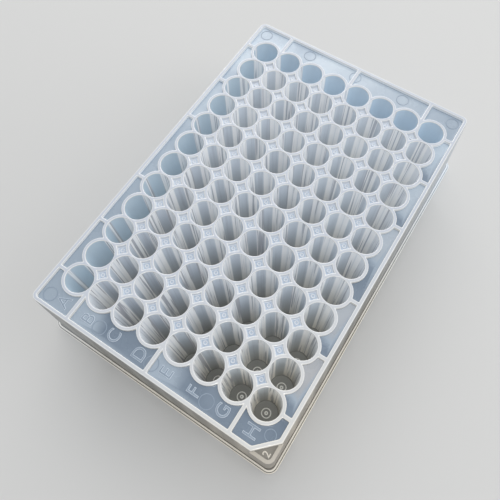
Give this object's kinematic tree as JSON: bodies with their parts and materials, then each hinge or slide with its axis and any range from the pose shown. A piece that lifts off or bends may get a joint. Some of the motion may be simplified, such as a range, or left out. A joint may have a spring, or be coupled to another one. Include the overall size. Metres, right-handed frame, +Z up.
{
  "type": "well plate",
  "caption": "Round-well deep-well plate in natural polypropylene with lettered rows, a raised rim, a stepped base flange and a cut corner.",
  "frame": {"origin": "on the base plane, under the middle of the footprint", "axes": "+Z up out of the wells, +X from column 1 to column 12 along the long side, +Y from row H to row A; the cut corner is at -X -Y, beside well H1"},
  "size_m": [0.1278, 0.0854, 0.031],
  "materials": {
    "natural_polypropylene": "translucent natural polypropylene, smooth satin moulding"
  },
  "bodies": {
    "root": {"well_plate": "natural_polypropylene"}
  },
  "joints": []
}
